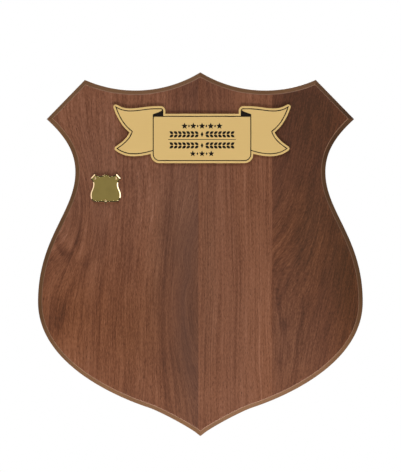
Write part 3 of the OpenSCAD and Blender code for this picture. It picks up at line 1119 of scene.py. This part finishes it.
def make_screws():
    """Pan-head screws with a tapered cross recess."""
    head_h = 2.3
    shank_r = 1.75
    edge_r = 1.2
    for side in ("upper", "lower"):
        node = f"hanger_screw_{side}"
        low, high = box_mm(node)
        head_r = (high.x - low.x) / 2
        length = high.y - low.y - head_h
        angles = [math.pi / 2 * i / 8 for i in range(9)]
        crown = [
            (head_r - edge_r + edge_r * math.cos(a), head_h - edge_r + edge_r * math.sin(a))
            for a in angles
        ]
        bm = bmesh.new()
        lathe(
            bm,
            [(0, -length), (0.4, 0.7 - length), (shank_r, 3 - length), (shank_r, 0)]
            + [(head_r - 0.15, 0), (head_r, 0.15)]
            + crown
            + [(0, head_h)],
        )
        head = bpy.data.meshes.new(node)
        bmesh.ops.recalc_face_normals(bm, faces=bm.faces)
        bm.to_mesh(head)
        bm.free()
        made = cut_recess(head, head_h)
        bm = bmesh.new()
        bm.from_mesh(made)
        centre = ((low.x + high.x) / 2, high.y - head_h, (low.z + high.z) / 2)
        move(bm, TOWARDS_WALL, centre)
        make_piece(f"hanging_screw_{side}", bm, [SCREW], BOARD, [node], sharp=32)


def cut_recess(head, head_h):
    """Cuts a cross, narrowing with depth, into the top of a screw's head."""
    solid = bpy.data.objects.new("screw_blank", head)
    cutter_bm = bmesh.new()
    above = 0.5
    recess_depth = 1.35
    top = head_h + above
    bottom = head_h - recess_depth
    for turn in (45, 135):
        angle = math.radians(turn)
        along = Vector((math.cos(angle), math.sin(angle), 0))
        across = Vector((-math.sin(angle), math.cos(angle), 0))
        corners = []
        for height, half_l, half_t in ((bottom, 0.75, 0.28), (top, 2.15, 0.52)):
            for a, b in ((1, 1), (-1, 1), (-1, -1), (1, -1)):
                corner = along * (a * half_l) + across * (b * half_t)
                corners.append(cutter_bm.verts.new((corner.x, corner.y, height)))
        low, high = corners[:4], corners[4:]
        cutter_bm.faces.new(reversed(low))
        cutter_bm.faces.new(high)
        bridge(cutter_bm, high, low)
    bmesh.ops.recalc_face_normals(cutter_bm, faces=cutter_bm.faces)
    cutter_mesh = bpy.data.meshes.new("recess_cutter")
    cutter_bm.to_mesh(cutter_mesh)
    cutter_bm.free()
    cutter = bpy.data.objects.new("recess_cutter", cutter_mesh)
    for o in (solid, cutter):
        bpy.context.scene.collection.objects.link(o)
    cut = solid.modifiers.new("recess", "BOOLEAN")
    cut.operation = "DIFFERENCE"
    cut.solver = "EXACT"
    cut.use_self = True
    cut.object = cutter
    bpy.context.view_layer.update()
    graph = bpy.context.evaluated_depsgraph_get()
    made = bpy.data.meshes.new_from_object(solid.evaluated_get(graph))
    for o in (solid, cutter):
        bpy.data.objects.remove(o)
    return made


def make_bumpers():
    """Rubber feet with a rounded rim and a shallow moulded dimple."""
    rubber = bumper_rubber()
    rim = 1.6
    for side in ("left", "right"):
        node = f"bumper_{side}"
        low, high = box_mm(node)
        radius = (high.x - low.x) / 2
        height = high.y - low.y
        profile = [(0, 0), (radius - 0.2, 0), (radius, 0.2)]
        for i in range(9):
            angle = math.pi / 2 * i / 8
            out = radius - rim + rim * math.cos(angle)
            profile.append((out, height - rim + rim * math.sin(angle)))
        profile += [(2.2, height), (1.9, height - 0.1), (1.2, height - 0.3), (0, height - 0.35)]
        bm = bmesh.new()
        lathe(bm, profile, 72)
        move(bm, TOWARDS_WALL, ((low.x + high.x) / 2, low.y, (low.z + high.z) / 2))
        make_piece(f"wall_bumper_{side}", bm, [rubber], BOARD, [node])


# ---- camera, light


def make_camera():
    """Straight-on view from 1.2 m, framed so that the plaque sits a little low."""
    middle = (CAD_BOX[0] + CAD_BOX[1]) / 2
    lens = 100.0
    sensor = 36.0
    view_height = 434.0 * MM
    right_of_middle = 0.1 * MM
    above_middle = 16.8 * MM
    data = bpy.data.cameras.new("camera")
    data.lens = lens
    data.sensor_width = sensor
    camera = bpy.data.objects.new("camera", data)
    distance = view_height * lens / sensor
    camera.location = (right_of_middle, FACE_Y * MM - distance, middle.z + above_middle)
    camera.rotation_euler = (math.pi / 2, 0, 0)
    bpy.context.scene.collection.objects.link(camera)
    bpy.context.scene.camera = camera


def soft_light(name, place, width, height, power, colour=(1, 1, 1)):
    """A softbox at place, in metres, that faces the middle of the plaque; power is in watts."""
    data = bpy.data.lights.new(name, "AREA")
    data.shape = "RECTANGLE"
    data.size = width
    data.size_y = height
    data.energy = power
    data.color = colour
    light = bpy.data.objects.new(name, data)
    light.location = place
    aim = (CAD_BOX[0] + CAD_BOX[1]) / 2
    light.rotation_euler = (aim - Vector(place)).to_track_quat("-Z", "Y").to_euler()
    light.visible_camera = False
    bpy.context.scene.collection.objects.link(light)
    return light


def make_lights():
    """Soft light on the face, and weaker light behind.

    The strong light is low in front and a weaker one is at the upper left. The cards are what
    the brass face mirrors, and the narrow side strips are what its left and right edges mirror.
    One light shines straight down on the floor, and two light the back.
    """
    soft_light("low_front", (0.08, -0.56, -1.26), 1.6, 0.4, 31.3)
    soft_light("upper_left", (-0.24, -0.59, 0.95), 1.2, 0.4, 14.6)
    soft_light("front_card", (0.0, -1.9, -0.1), 1.1, 1.1, 0.78, (1.0, 0.91, 0.42))
    soft_light("card_left", (-1.5, -1.3, -0.5), 1.7, 1.7, 1.7, (1.0, 0.93, 0.62))
    soft_light("card_right", (1.5, -1.3, -0.5), 1.7, 1.7, 1.7, (1.0, 0.93, 0.62))
    soft_light("side_left", (-1.0, -0.03, 0.1), 0.05, 1.4, 0.3, (1.0, 0.88, 1.0))
    soft_light("side_right", (1.0, -0.18, 0.3), 0.07, 1.6, 1.1, (0.8, 0.82, 1.0))
    floor_light = soft_light("above_the_floor", (0.0, 0.0, -1.0), 8.0, 8.0, 180)
    floor_light.rotation_euler = (0, 0, 0)
    soft_light("rear_upper", (0.5, 1.4, 0.8), 1.2, 0.9, 26)
    soft_light("rear_lower", (-0.6, 1.3, -0.9), 1.2, 0.7, 12)


def make_surroundings():
    """A pale floor well below the plaque, and a world that only the camera sees as white."""
    floor_r = 4
    floor_z = -1.4
    dim = 0.06
    bm = bmesh.new()
    bmesh.ops.create_circle(bm, cap_ends=True, radius=floor_r, segments=96)
    mesh = bpy.data.meshes.new("floor")
    bm.to_mesh(mesh)
    bm.free()
    floor = bpy.data.objects.new("floor", mesh)
    floor.location = (0, 0, floor_z)
    floor.visible_diffuse = False
    floor.visible_glossy = False
    paint = Shader("pale_floor", Roughness=0.9)
    paint.set("Base Color", (0.82, 0.82, 0.81))
    mesh.materials.append(paint.material)
    bpy.context.scene.collection.objects.link(floor)

    world = bpy.data.worlds.new("studio")
    world.use_nodes = True
    bpy.context.scene.world = world
    tree = world.node_tree
    ambient = tree.nodes["Background"]
    ambient.inputs["Color"].default_value = (1, 1, 1, 1)
    ambient.inputs["Strength"].default_value = dim
    seen = tree.nodes.new("ShaderNodeBackground")
    seen.inputs["Color"].default_value = (1, 1, 1, 1)
    seen.inputs["Strength"].default_value = 1.0
    ray = tree.nodes.new("ShaderNodeLightPath")
    choose = tree.nodes.new("ShaderNodeMixShader")
    tree.links.new(ray.outputs["Is Camera Ray"], choose.inputs["Fac"])
    tree.links.new(ambient.outputs[0], choose.inputs[1])
    tree.links.new(seen.outputs[0], choose.inputs[2])
    tree.links.new(choose.outputs[0], tree.nodes["World Output"].inputs["Surface"])


EDGE = veneer_edge()
ZINC = plated_steel("zinc_strap", (0.60, 0.60, 0.57), 0.28)
SCREW = plated_steel("zinc_screws", (0.64, 0.62, 0.54), 0.22)

make_camera()
make_surroundings()
make_lights()
make_board()
make_leaves()
make_title_plate()
make_enamel()
make_tapes()
make_record_shield()
make_pins()
make_strap()
make_ring()
make_screws()
make_bumpers()

bpy.context.scene.view_settings.view_transform = "Standard"
